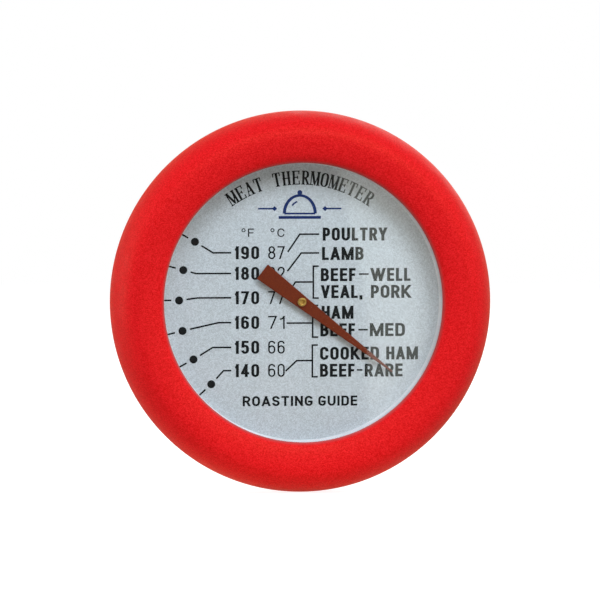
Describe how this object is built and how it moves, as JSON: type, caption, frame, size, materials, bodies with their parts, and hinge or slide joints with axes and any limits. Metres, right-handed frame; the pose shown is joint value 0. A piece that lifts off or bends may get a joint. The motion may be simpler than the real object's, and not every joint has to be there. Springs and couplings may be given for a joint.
{
  "type": "meat thermometer",
  "caption": "Round dial meat thermometer with a silicone surround, a flat glass, a turning pointer and a pointed stem that holds a bimetal coil.",
  "frame": {"origin": "centre of the glass's outer face, on the axis shared by dial and stem", "axes": "-Y out of the dial towards the reader, +Y along the stem to its point, +Z to 12 o'clock, +X to 3 o'clock"},
  "size_m": [0.074, 0.1347, 0.074],
  "materials": {
    "silicone": "matte red silicone",
    "steel": "satin stainless steel",
    "glass": "clear, polished",
    "seal": "matte dark red silicone",
    "dial": "fine satin, printed",
    "brass": "turned",
    "pointer_paint": "semi-matte brown paint",
    "bimetal": "rolled strip"
  },
  "bodies": {
    "case": {"silicone_guard": "silicone", "bezel_ring": "steel", "lens": "glass", "lens_gasket": "seal", "spacer_ring": "steel", "dial_plate": "dial", "case_cup": "steel", "stem_ferrule": "steel", "ferrule_seal": "seal", "ferrule_lock_ring": "steel", "stem_tube": "steel", "stem_tip": "steel", "upper_bushing": "brass", "lower_bushing": "brass", "coil_anchor": "steel"},
    "spindle": {"pointer": "pointer_paint", "pointer_hub": "brass", "pointer_shaft": "steel", "coil_collar": "brass"},
    "coil": {"bimetal_coil": "bimetal"}
  },
  "joints": [
    {"name": "pointer_turn", "type": "hinge", "parent": "case", "child": "spindle", "pos_m": [0, 0.0032, 0], "axis": [0, 1, 0], "range_deg": [-56.4, 203.9], "stiffness_Nm_per_rad": 0.001},
    {"name": "coil_twist", "type": "hinge", "parent": "case", "child": "coil", "pos_m": [0, 0.09, 0], "axis": [0, 1, 0], "range_deg": [-28.2, 101.95]}
  ],
  "couplings": [
    {"joint": "coil_twist", "follows": "pointer_turn", "ratio": 0.5}
  ]
}
